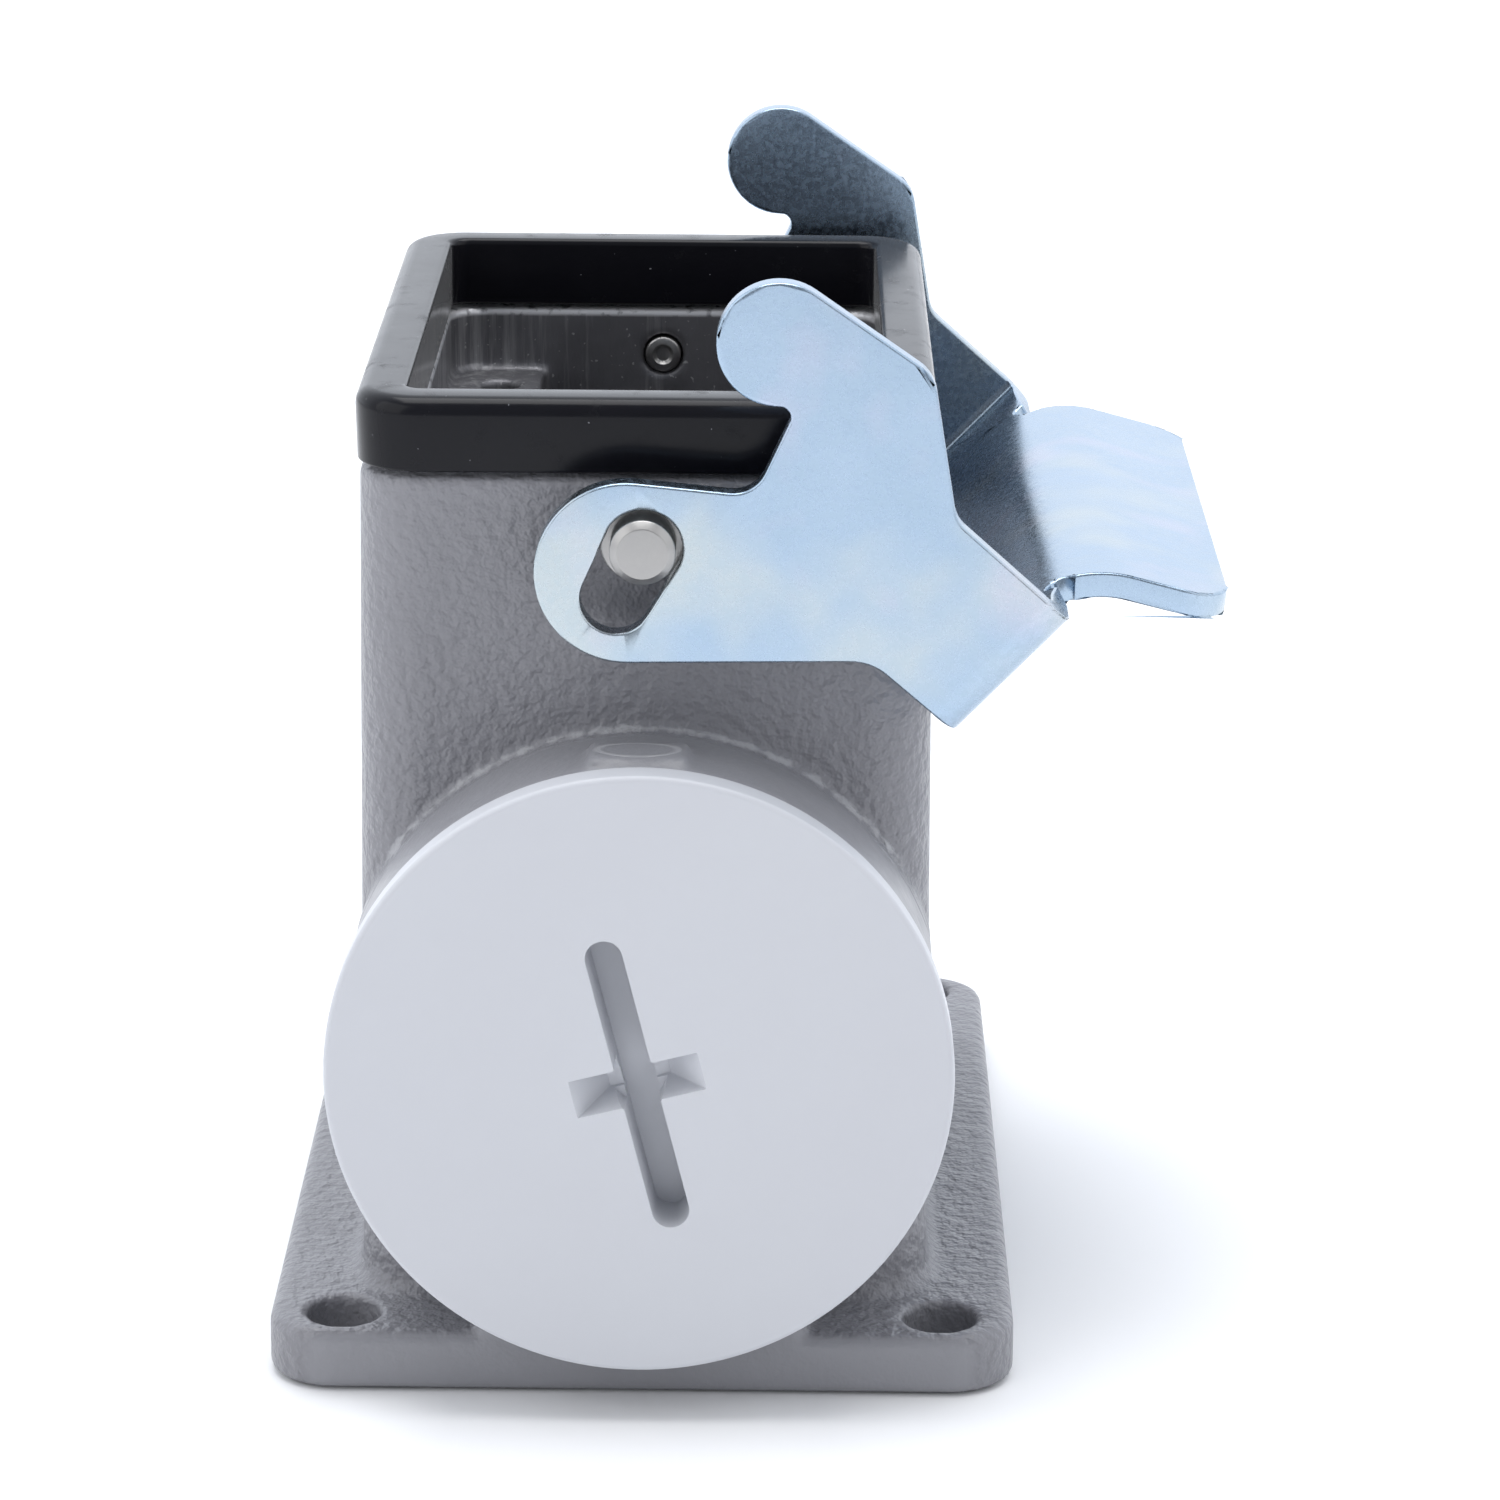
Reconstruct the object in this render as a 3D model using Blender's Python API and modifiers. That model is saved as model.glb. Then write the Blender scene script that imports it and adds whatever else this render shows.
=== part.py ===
"""Surface-mounting housing for a rectangular industrial connector: die-cast body with a fixing
flange and one threaded side entry, a seal frame on its rim, a fold-over locking lever on two
riveted pins, and a screw-in blanking plug with its sealing ring.

Frame: metres, +Z up, origin on the flange's underside below the middle of the mouth,
the cable entry faces -Y and the lever's handle points to +X.
"""

import math

import bmesh
import bpy
from mathutils import Matrix, Vector

MM = 0.001
FIT = 0.3 * MM  # clearance between pieces that touch on the real object

# Driving sizes -----------------------------------------------------------------------------
MOUTH_WIDTH = 43.0 * MM  # outside of the seal frame along X
MOUTH_LENGTH = 62.4 * MM  # outside of the seal frame along Y
TOTAL_HEIGHT = 74.5 * MM  # flange underside to seal top
SEAL_HEIGHT = 5.6 * MM

FLANGE_WIDTH = 56.3 * MM
FLANGE_LENGTH = 81.6 * MM
FLANGE_THICKNESS = 4.6 * MM
FLANGE_SHIFT_Y = 1.7 * MM
FLANGE_CORNER = 5.0 * MM
FIXING_HOLES = (45.0 * MM, 73.0 * MM)  # spacing along X and Y
FIXING_HOLE_RADIUS = 2.8 * MM

WALL = 3.5 * MM
FLOOR = 4.0 * MM
BODY_WIDTH = 42.4 * MM
BODY_LENGTH = 62.0 * MM
BODY_CORNER = 5.0 * MM

INSERT_SCREWS = (27.0 * MM, 44.0 * MM)  # spacing of the M4 holes for a contact insert
INSERT_SEAT_HEIGHT = 63.3 * MM
LUG_SIZE = (8.2 * MM, 10.0 * MM, 14.0 * MM)
M4_CORE_RADIUS = 1.65 * MM

ENTRY_HEIGHT = 27.0 * MM  # axis of the side entry above the flange's underside
BOSS_RADIUS = 22.5 * MM
BOSS_FACE_Y = -40.6 * MM
PEDESTAL_WIDTH = 24.6 * MM
THREAD_RADIUS = 20.0 * MM  # M40 x 1.5
THREAD_PITCH = 1.5 * MM
THREAD_DEPTH = 0.92 * MM
THREAD_SIDES = 36
BORE_RADIUS = 18.8 * MM

PLUG_RADIUS = 23.0 * MM
PLUG_HEAD = 2.6 * MM
PLUG_THREAD = 10.0 * MM
PLUG_WEB = 5.0 * MM
SLOT_LENGTH = 22.6 * MM
SLOT_WIDTH = 2.7 * MM
SLOT_DEPTH = 3.0 * MM
CROSS_SLOT_LENGTH = 9.7 * MM
SLOT_TILT = math.radians(14.2)
RING_THICKNESS = 0.6 * MM
RING_RADII = (20.6 * MM, 22.0 * MM)

PIVOT_HEIGHT = 64.75 * MM
PIN_RADIUS = 2.4 * MM
PIN_TIP_RADIUS = 1.85 * MM
PIN_COLLAR_RADIUS = 3.2 * MM
PIN_SHANK_RADIUS = 1.5 * MM
PIN_END = 38.0 * MM  # distance of the pin's outer end from the middle of the housing

LEVER_SHEET = 1.9 * MM
LEVER_WIDTH = 73.0 * MM  # over the outer faces of both arms
LEVER_BEND = 1.75 * MM  # bend radius of the sheet's middle layer
BRIDGE_START = Vector((22.22, -13.33)) * MM  # lower end of the bridge's middle layer, from the pivot
BRIDGE_ALONG = Vector((math.cos(math.radians(46)), math.sin(math.radians(46))))
BRIDGE_OUTWARD = Vector((BRIDGE_ALONG.y, -BRIDGE_ALONG.x))
BRIDGE_HEIGHT = 11.85 * MM
TAB_WIDTH = 54.0 * MM
TAB_BEND_START = 8.1 * MM  # along the bridge
TAB_BEND_RADIUS = 8.35 * MM
TAB_BEND = math.radians(60.5)
TAB_STRAIGHT = 5.0 * MM
TAB_CURL = math.radians(10.0)
TAB_CURL_LENGTH = 2.6 * MM
TAB_CORNER = 3.8 * MM
RELIEF_RADIUS = 1.25 * MM
LEVER_CLOSED = math.radians(45.0)  # swing from this open position to the closed one

# Derived sizes -----------------------------------------------------------------------------
SEAL_BASE = TOTAL_HEIGHT - SEAL_HEIGHT
SHOULDER = SEAL_BASE - FIT
SEAL_SKIN = 1.15 * MM
SEAL_TOP_SKIN = 1.3 * MM
SEAL_RIM = 3.9 * MM
CAVITY_WIDTH = BODY_WIDTH - 2 * WALL
CAVITY_LENGTH = BODY_LENGTH - 2 * WALL
PLUG_BACK_Y = BOSS_FACE_Y - RING_THICKNESS - 2 * FIT
PLUG_FACE_Y = PLUG_BACK_Y - PLUG_HEAD
ARM_MIDDLE = (LEVER_WIDTH - LEVER_SHEET) / 2
ARM_INNER = LEVER_WIDTH / 2 - LEVER_SHEET

ROUND_STEPS = 6
TURN_STEPS = 36


# Scene helpers -----------------------------------------------------------------------------
def clear_scene():
    for obj in list(bpy.data.objects):
        bpy.data.objects.remove(obj, do_unlink=True)


def new_collection(name):
    collection = bpy.data.collections.new(name)
    bpy.context.scene.collection.children.link(collection)
    return collection


def new_material(name, color, roughness, metallic):
    material = bpy.data.materials.new(name)
    material.use_nodes = True
    shader = material.node_tree.nodes["Principled BSDF"]
    shader.inputs["Base Color"].default_value = (*color, 1.0)
    shader.inputs["Roughness"].default_value = roughness
    shader.inputs["Metallic"].default_value = metallic
    material.diffuse_color = (*color, 1.0)
    return material


def add_object(name, mesh, collection):
    obj = bpy.data.objects.new(name, mesh)
    collection.objects.link(obj)
    return obj


def add_cutter(name, mesh):
    obj = add_object(name, mesh, CUTTERS)
    obj.hide_render = True
    obj.display_type = "WIRE"
    return obj


def add_part(name, mesh, material, smooth_angle=math.radians(35)):
    obj = add_object(name, mesh, PARTS)
    mesh.materials.append(material)
    mesh.shade_smooth()
    mesh.set_sharp_from_angle(angle=smooth_angle)
    return obj


def boolean(obj, operation, other):
    modifier = obj.modifiers.new(f"{operation.lower()}_{other.name}", "BOOLEAN")
    modifier.operation = operation
    modifier.object = other
    modifier.solver = "EXACT"


# Mesh helpers ------------------------------------------------------------------------------
def mesh_from(name, work):
    bmesh.ops.recalc_face_normals(work, faces=work.faces)
    mesh = bpy.data.meshes.new(name)
    work.to_mesh(mesh)
    work.free()
    return mesh


def add_rounded_box(work, size, centre, corner=0.0):
    """A box with its four vertical edges rounded."""
    made = bmesh.ops.create_cube(work, size=1.0)["verts"]
    bmesh.ops.scale(work, vec=size, verts=made)
    bmesh.ops.translate(work, vec=centre, verts=made)
    if corner:
        edges = {edge for vert in made for edge in vert.link_edges}
        upright = [e for e in edges if abs(e.verts[0].co.z - e.verts[1].co.z) > size[2] / 2]
        bmesh.ops.bevel(
            work,
            geom=upright,
            offset=corner,
            offset_type="OFFSET",
            segments=ROUND_STEPS,
            profile=0.5,
            affect="EDGES",
        )


def rounded_box(name, size, centre, corner=0.0):
    work = bmesh.new()
    add_rounded_box(work, size, centre, corner)
    return mesh_from(name, work)


def slab(name, width, length, low, high, corner, shift_y=0.0):
    """A rounded box between two heights."""
    size = (width, length, high - low)
    return rounded_box(name, size, (0, shift_y, (low + high) / 2), corner)


def add_cylinder(work, radius, start, end, sides=TURN_STEPS):
    """A capped cylinder between two points."""
    start, end = Vector(start), Vector(end)
    turn = Vector((0, 0, 1)).rotation_difference(end - start).to_matrix().to_4x4()
    bmesh.ops.create_cone(
        work,
        cap_ends=True,
        segments=sides,
        radius1=radius,
        radius2=radius,
        depth=(end - start).length,
        matrix=Matrix.Translation((start + end) / 2) @ turn,
    )


def corners_of(spacing):
    return [(i * spacing[0] / 2, j * spacing[1] / 2) for i in (-1, 1) for j in (-1, 1)]


def arc(centre, radius, start, end, steps=ROUND_STEPS):
    """Points along an arc in a plane, angles in degrees."""
    angles = (math.radians(start + (end - start) * i / steps) for i in range(steps + 1))
    return [Vector(centre) + radius * Vector((math.cos(a), math.sin(a))) for a in angles]


def fillet(before, corner, after, radius, steps=3):
    """Points that round the corner of a polyline."""
    back = (before - corner).normalized()
    ahead = (after - corner).normalized()
    half = back.angle(ahead) / 2
    centre = corner + (back + ahead).normalized() * radius / math.sin(half)
    reach = radius / math.tan(half)
    first = (corner + back * reach - centre).normalized()
    last = (corner + ahead * reach - centre).normalized()
    return [centre + first.slerp(last, i / steps) * radius for i in range(steps + 1)]


def turned(name, profile, material):
    """A solid of revolution about its own Z axis: (radius, height) from the top down."""
    mesh = bpy.data.meshes.new(name)
    points = [(radius, 0, height) for radius, height in profile]
    edges = [(i, i + 1) for i in range(len(points) - 1)]
    if profile[0][0] > 0:  # a ring, so its profile closes on itself
        edges.append((len(points) - 1, 0))
    mesh.from_pydata(points, edges, [])
    obj = add_part(name, mesh, material)
    screw = obj.modifiers.new("turn", "SCREW")
    screw.axis = "Z"
    screw.steps = TURN_STEPS
    screw.render_steps = TURN_STEPS
    screw.use_merge_vertices = True
    screw.merge_threshold = 0.00001
    screw.use_smooth_shade = True
    return obj


def screw_thread(name, crest, depth, start_y, length, centre_z):
    """A solid threaded rod along Y: a ramped profile of four points a pitch, wound as a helix."""
    profile = [(0.0, -depth), (0.12, -depth), (0.44, 0.0), (0.68, 0.0)]
    rows = math.ceil(length / THREAD_PITCH + 2) * len(profile)
    work = bmesh.new()
    columns = []
    for side in range(THREAD_SIDES):
        angle = math.tau * side / THREAD_SIDES
        column = []
        for row in range(rows + 1 + len(profile)):
            place, rise = profile[row % len(profile)]
            along = (row // len(profile) + place + side / THREAD_SIDES - 1.5) * THREAD_PITCH
            radius = crest + rise
            column.append(
                work.verts.new(
                    (
                        radius * math.sin(angle),
                        start_y + along,
                        centre_z + radius * math.cos(angle),
                    )
                )
            )
        columns.append(column)
    for side in range(THREAD_SIDES):
        last = side == THREAD_SIDES - 1
        here = columns[side]
        # The next column starts one pitch further on when the helix closes a full turn.
        there = columns[0][len(profile) :] if last else columns[side + 1]
        for row in range(rows):
            work.faces.new((here[row], here[row + 1], there[row + 1], there[row]))
    for column in columns[1:]:
        for vert in column[rows + 1 :]:
            work.verts.remove(vert)
    for end in (0, rows):
        rim = [column[end] for column in columns]
        seam = columns[0][end + 1 : end + len(profile) + 1]
        rim += reversed(seam)
        middle = work.verts.new((0, sum(v.co.y for v in rim) / len(rim), centre_z))
        for first, second in zip(rim, rim[1:] + rim[:1]):
            work.faces.new((first, second, middle))
    return mesh_from(name, work)


# Housing -----------------------------------------------------------------------------------
def boss_block():
    """The round entry boss, cut flush with the housing's sides."""
    work = bmesh.new()
    back = (0, -BODY_LENGTH / 2 + WALL / 2, ENTRY_HEIGHT)
    add_cylinder(work, BOSS_RADIUS, (0, BOSS_FACE_Y, ENTRY_HEIGHT), back, 2 * TURN_STEPS)
    boss = add_cutter("boss_block", mesh_from("boss_block", work))
    trim_size = (BODY_WIDTH - 0.1 * MM, BODY_LENGTH, 3 * BOSS_RADIUS)
    trim = add_cutter(
        "boss_trim", rounded_box("boss_trim", trim_size, (0, BOSS_FACE_Y, ENTRY_HEIGHT))
    )
    boolean(boss, "INTERSECT", trim)
    return boss


def pedestal_block():
    front = FLANGE_SHIFT_Y - FLANGE_LENGTH / 2
    back = -BODY_LENGTH / 2 + WALL / 2
    size = (PEDESTAL_WIDTH, back - front, 8.0 * MM)
    centre = (0, (front + back) / 2, FLANGE_THICKNESS / 2 + size[2] / 2)
    return add_cutter("pedestal_block", rounded_box("pedestal_block", size, centre))


def insert_lugs():
    """Four corner lugs that carry the contact insert."""
    work = bmesh.new()
    inset = 0.5 * MM  # grows into the walls, so that the lugs fuse with them
    middle_x = CAVITY_WIDTH / 2 + inset - LUG_SIZE[0] / 2
    middle_y = CAVITY_LENGTH / 2 + inset - LUG_SIZE[1] / 2
    for x, y in corners_of((2 * middle_x, 2 * middle_y)):
        add_rounded_box(work, LUG_SIZE, (x, y, INSERT_SEAT_HEIGHT - LUG_SIZE[2] / 2))
    return add_cutter("insert_lugs", mesh_from("insert_lugs", work))


def through_holes(name, places, radius, low, high, sides):
    work = bmesh.new()
    for x, y in places:
        add_cylinder(work, radius, (x, y, low), (x, y, high), sides)
    return add_cutter(name, mesh_from(name, work))


def entry_bore():
    """Clearance bore through the wall behind the thread."""
    work = bmesh.new()
    start = (0, -BODY_LENGTH / 2 - 1.0 * MM, ENTRY_HEIGHT)
    end = (0, -CAVITY_LENGTH / 2 + 1.0 * MM, ENTRY_HEIGHT)
    add_cylinder(work, BORE_RADIUS, start, end)
    return add_cutter("entry_bore", mesh_from("entry_bore", work))


def entry_thread():
    """The internal thread: the plug's thread grown by the clearance, and cut off behind."""
    rod = screw_thread(
        "entry_thread",
        THREAD_RADIUS + FIT,
        THREAD_DEPTH,
        PLUG_BACK_Y,
        -BODY_LENGTH / 2 - PLUG_BACK_Y,
        ENTRY_HEIGHT,
    )
    thread = add_cutter("entry_thread", rod)
    size = (60 * MM, 30 * MM, 60 * MM)
    front = -BODY_LENGTH / 2 - size[1] / 2
    keep = add_cutter("thread_end", rounded_box("thread_end", size, (0, front, ENTRY_HEIGHT)))
    boolean(thread, "INTERSECT", keep)
    return thread


def pin_holes():
    work = bmesh.new()
    reach = BODY_LENGTH / 2 + 2.0 * MM
    radius = PIN_SHANK_RADIUS + FIT / 2
    add_cylinder(work, radius, (0, -reach, PIVOT_HEIGHT), (0, reach, PIVOT_HEIGHT), 20)
    return add_cutter("pin_holes", mesh_from("pin_holes", work))


def housing(material):
    flange = slab(
        "housing_body",
        FLANGE_WIDTH,
        FLANGE_LENGTH,
        0,
        FLANGE_THICKNESS,
        FLANGE_CORNER,
        FLANGE_SHIFT_Y,
    )
    body = add_part("housing_body", flange, material)
    block = slab(
        "wall_block", BODY_WIDTH, BODY_LENGTH, 1.0 * MM, SHOULDER, BODY_CORNER
    )
    tongue_inset = 2 * (SEAL_SKIN + FIT)
    tongue = slab(
        "rim_tongue",
        MOUTH_WIDTH - tongue_inset,
        MOUTH_LENGTH - tongue_inset,
        SHOULDER - 2.0 * MM,
        TOTAL_HEIGHT - SEAL_TOP_SKIN - FIT,
        BODY_CORNER - tongue_inset / 2,
    )
    cavity = slab(
        "cavity", CAVITY_WIDTH, CAVITY_LENGTH, FLOOR, TOTAL_HEIGHT + 2.0 * MM, 3.0 * MM
    )
    skirt_inset = 2 * (SEAL_RIM - SEAL_SKIN - FIT)
    skirt_room = slab(
        "skirt_room",
        MOUTH_WIDTH - skirt_inset,
        MOUTH_LENGTH - skirt_inset,
        SHOULDER,
        TOTAL_HEIGHT + 3.0 * MM,
        3.6 * MM,
    )
    fixing = [(x, y + FLANGE_SHIFT_Y) for x, y in corners_of(FIXING_HOLES)]
    boolean(body, "UNION", add_cutter("wall_block", block))
    boolean(body, "UNION", add_cutter("rim_tongue", tongue))
    boolean(body, "UNION", boss_block())
    boolean(body, "UNION", pedestal_block())
    boolean(body, "DIFFERENCE", add_cutter("cavity", cavity))
    boolean(body, "UNION", insert_lugs())
    boolean(body, "DIFFERENCE", add_cutter("skirt_room", skirt_room))
    boolean(body, "DIFFERENCE", entry_bore())
    boolean(body, "DIFFERENCE", entry_thread())
    boolean(body, "DIFFERENCE", pin_holes())
    boolean(
        body,
        "DIFFERENCE",
        through_holes(
            "fixing_holes", fixing, FIXING_HOLE_RADIUS, -1.0 * MM, FLANGE_THICKNESS + 1.0 * MM, 24
        ),
    )
    boolean(
        body,
        "DIFFERENCE",
        through_holes(
            "insert_screw_holes",
            corners_of(INSERT_SCREWS),
            M4_CORE_RADIUS,
            INSERT_SEAT_HEIGHT - 11.0 * MM,
            INSERT_SEAT_HEIGHT + 1.0 * MM,
            16,
        ),
    )


# Seal frame --------------------------------------------------------------------------------
def seal_frame(material):
    """A channel-shaped frame that hangs over the rim's tongue."""
    outer = slab(
        "seal_frame", MOUTH_WIDTH, MOUTH_LENGTH, SEAL_BASE, TOTAL_HEIGHT, BODY_CORNER
    )
    frame = add_part("seal_frame", outer, material)
    opening = slab(
        "seal_opening",
        MOUTH_WIDTH - 2 * SEAL_RIM,
        MOUTH_LENGTH - 2 * SEAL_RIM,
        SEAL_BASE - 1.0 * MM,
        TOTAL_HEIGHT + 1.0 * MM,
        3.0 * MM,
    )
    channel_top = TOTAL_HEIGHT - SEAL_TOP_SKIN
    channel = add_cutter(
        "seal_channel",
        slab(
            "seal_channel",
            MOUTH_WIDTH - 2 * SEAL_SKIN,
            MOUTH_LENGTH - 2 * SEAL_SKIN,
            SEAL_BASE - 1.0 * MM,
            channel_top,
            BODY_CORNER - SEAL_SKIN,
        ),
    )
    inner_wall = slab(
        "seal_inner_wall",
        MOUTH_WIDTH - 2 * (SEAL_RIM - SEAL_SKIN),
        MOUTH_LENGTH - 2 * (SEAL_RIM - SEAL_SKIN),
        SEAL_BASE - 2.0 * MM,
        channel_top + 1.0 * MM,
        3.6 * MM,
    )
    boolean(channel, "DIFFERENCE", add_cutter("seal_inner_wall", inner_wall))
    boolean(frame, "DIFFERENCE", add_cutter("seal_opening", opening))
    boolean(frame, "DIFFERENCE", channel)


# Pivot pins --------------------------------------------------------------------------------
def pivot_pin(name, side, material):
    """A shouldered pin through the wall; its local Z points out of the housing."""
    wall_outer = BODY_LENGTH / 2
    profile = [
        (0, PIN_END),
        (PIN_TIP_RADIUS, PIN_END),
        (PIN_RADIUS, PIN_END - 0.5 * MM),
        (PIN_RADIUS, ARM_INNER - FIT),
        (PIN_COLLAR_RADIUS, ARM_INNER - FIT),
        (PIN_COLLAR_RADIUS, wall_outer + FIT),
        (PIN_SHANK_RADIUS, wall_outer + FIT),
        (PIN_SHANK_RADIUS, wall_outer - WALL - FIT),
        (0, wall_outer - WALL - FIT),
    ]
    pin = turned(name, profile, material)
    pin.location = (0, 0, PIVOT_HEIGHT)
    pin.rotation_euler = (-side * math.pi / 2, 0, 0)


# Locking lever -----------------------------------------------------------------------------
# The lever is one sheet: half of its flat blank is drawn in (along, across) coordinates of the
# bridge, folded, mirrored at the middle and given its thickness.
BRIDGE_HALF = ARM_MIDDLE - LEVER_BEND
BEND_LENGTH = LEVER_BEND * math.pi / 2


def arm_point(along, depth):
    """A point of the arm's plane, measured from the pivot."""
    return BRIDGE_START + BRIDGE_ALONG * along - BRIDGE_OUTWARD * depth


def arm_outline():
    """The arm's edge from the bridge's lower end to its upper end, measured from the pivot."""
    lower_end = arm_point(0, LEVER_BEND)
    lower_knee = Vector((16.56, -8.36)) * MM
    throat = Vector((8.02, 4.03)) * MM
    throat_top = Vector((11.07, 10.6)) * MM
    shoulder = Vector((20.9, 12.96)) * MM
    waist = Vector((22.67, 2.23)) * MM
    upper_end = arm_point(BRIDGE_HEIGHT, LEVER_BEND)
    lobe = arc(Vector((-1.17, -1.86)) * MM, 6.75 * MM, 271, 84, 12)
    hook = arc(Vector((9.76, 15.15)) * MM, 4.55 * MM, 270, 54.5, 14)
    points = [lower_end]
    points += fillet(lower_end, lower_knee, lobe[0], 4.0 * MM)
    points += lobe
    points += fillet(lobe[-1], throat, throat_top, 2.5 * MM)
    points += fillet(throat, throat_top, hook[0], 0.8 * MM)
    points += hook
    points += fillet(hook[-1], shoulder, waist, 3.0 * MM)
    points += fillet(shoulder, waist, upper_end, 2.5 * MM)
    return [*points, upper_end]


def slot_outline():
    """The tapered slot that lets the lever lift on its pin."""
    wide = arc((0, 0), 2.9 * MM, -23, 147, 10)
    narrow = arc(Vector((-1.95, -3.75)) * MM, 2.6 * MM, 157, 327, 10)
    return wide + narrow


def unfold(point):
    """Where a point of the arm lies on the flat blank."""
    offset = point - BRIDGE_START
    depth = -offset.dot(BRIDGE_OUTWARD)
    return Vector((offset.dot(BRIDGE_ALONG), BRIDGE_HALF + BEND_LENGTH + depth - LEVER_BEND))


def tab_path(distance):
    """How far the tab's middle layer gets along the bridge's line and outward from it."""
    along = min(distance, TAB_BEND_START)
    rest = distance - along
    turn = min(rest / TAB_BEND_RADIUS, TAB_BEND)
    along += TAB_BEND_RADIUS * math.sin(turn)
    outward = TAB_BEND_RADIUS * (1 - math.cos(turn))
    rest -= turn * TAB_BEND_RADIUS
    straight = min(rest, TAB_STRAIGHT)
    curl = TAB_BEND - TAB_CURL * min((rest - straight) / TAB_CURL_LENGTH, 1) / 2
    for length, heading in ((straight, TAB_BEND), (rest - straight, curl)):
        along += length * math.cos(heading)
        outward += length * math.sin(heading)
    return along, outward


def fold(along, across):
    """The place in space, from the pivot, of a point of the blank."""
    angle = min(max(across - BRIDGE_HALF, 0) / LEVER_BEND, math.pi / 2)
    side = min(across, BRIDGE_HALF) + LEVER_BEND * math.sin(angle)
    depth = LEVER_BEND * (1 - math.cos(angle)) + max(across - BRIDGE_HALF - BEND_LENGTH, 0)
    bent_along, outward = tab_path(along)
    # The tab's bend fades out between the tab's edge and the arm.
    fade = min(max((BRIDGE_HALF - across) / (BRIDGE_HALF - TAB_WIDTH / 2), 0), 1)
    fade = fade * fade * (3 - 2 * fade)
    along += (bent_along - along) * fade
    place = BRIDGE_START + BRIDGE_ALONG * along + BRIDGE_OUTWARD * (outward * fade - depth)
    return Vector((place.x, side, place.y))


def blank_outline():
    """Half of the sheet before folding, from the middle of the bridge's lower edge."""
    arm = [unfold(point) for point in arm_outline()]
    half_tab = TAB_WIDTH / 2
    relief = (BRIDGE_HEIGHT + 0.3 * MM, half_tab + 0.95 * MM)
    end = TAB_BEND_START + TAB_BEND_RADIUS * TAB_BEND + TAB_STRAIGHT + TAB_CURL_LENGTH
    points = [Vector((arm[0].x, 0)), *arm]
    points += arc(relief, RELIEF_RADIUS, 104, 310, 8)
    points += arc((end - TAB_CORNER, half_tab - TAB_CORNER), TAB_CORNER, 90, 0, 5)
    return [*points, Vector((end, 0))]


def split_lines(work, places, direction, limit):
    """Cuts the blank across a direction, where its points are below a limit across."""
    for place in places:
        faces = [f for f in work.faces if f.calc_center_median().y < limit]
        edges = {edge for face in faces for edge in face.edges}
        verts = {vert for face in faces for vert in face.verts}
        bmesh.ops.bisect_plane(
            work,
            geom=[*verts, *edges, *faces],
            dist=0.001 * MM,
            plane_co=direction * place,
            plane_no=direction,
        )


def locking_lever(material):
    work = bmesh.new()
    edges = []
    for outline in (blank_outline(), [unfold(point) for point in slot_outline()]):
        verts = [work.verts.new((point.x, point.y, 0)) for point in outline]
        edges += [work.edges.new(pair) for pair in zip(verts, verts[1:] + verts[:1])]
    bmesh.ops.triangle_fill(work, use_beauty=True, use_dissolve=False, edges=edges)
    fades = [TAB_WIDTH / 2 + i * (BRIDGE_HALF - TAB_WIDTH / 2) / 4 for i in range(4)]
    bends = [BRIDGE_HALF + i * BEND_LENGTH / 4 for i in range(5)]
    split_lines(work, fades + bends, Vector((0, 1, 0)), 100 * MM)
    bend = TAB_BEND_RADIUS * TAB_BEND
    tab = [TAB_BEND_START + i * bend / 8 for i in range(9)]
    tab.append(TAB_BEND_START + bend + TAB_STRAIGHT)
    split_lines(work, tab, Vector((1, 0, 0)), BRIDGE_HALF)
    for vert in work.verts:
        vert.co = fold(vert.co.x, vert.co.y)
    lever = add_part("locking_lever", mesh_from("locking_lever", work), material)
    lever.location = (0, 0, PIVOT_HEIGHT)
    mirror = lever.modifiers.new("other_half", "MIRROR")
    mirror.use_axis = (False, True, False)
    mirror.merge_threshold = 0.00001
    sheet = lever.modifiers.new("sheet", "SOLIDIFY")
    sheet.thickness = LEVER_SHEET
    sheet.offset = 0
    sheet.use_even_offset = True


# Blanking plug -----------------------------------------------------------------------------
def plug_slot(name, width, length, corner):
    """A slot cutter: its local X and Y lie in the plug's face."""
    size = (width, length, 2 * SLOT_DEPTH)
    cutter = add_cutter(name, rounded_box(name, size, (0, 0, 0), corner))
    cutter.location = (0, PLUG_FACE_Y, ENTRY_HEIGHT)
    cutter.rotation_euler = (math.pi / 2, -SLOT_TILT, 0)
    return cutter


def plug_thread():
    rod = screw_thread(
        "plug_thread",
        THREAD_RADIUS,
        THREAD_DEPTH,
        PLUG_BACK_Y,
        PLUG_THREAD,
        ENTRY_HEIGHT,
    )
    thread = add_cutter("plug_thread", rod)
    low = PLUG_BACK_Y - 1.0 * MM
    high = PLUG_BACK_Y + PLUG_THREAD
    size = (60 * MM, high - low, 60 * MM)
    box = rounded_box("plug_thread_end", size, (0, (low + high) / 2, ENTRY_HEIGHT))
    boolean(thread, "INTERSECT", add_cutter("plug_thread_end", box))
    return thread


def plug_hollow():
    work = bmesh.new()
    start = (0, PLUG_FACE_Y + PLUG_WEB, ENTRY_HEIGHT)
    end = (0, PLUG_BACK_Y + PLUG_THREAD + 1.0 * MM, ENTRY_HEIGHT)
    add_cylinder(work, THREAD_RADIUS - 3.2 * MM, start, end)
    return add_cutter("plug_hollow", mesh_from("plug_hollow", work))


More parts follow.
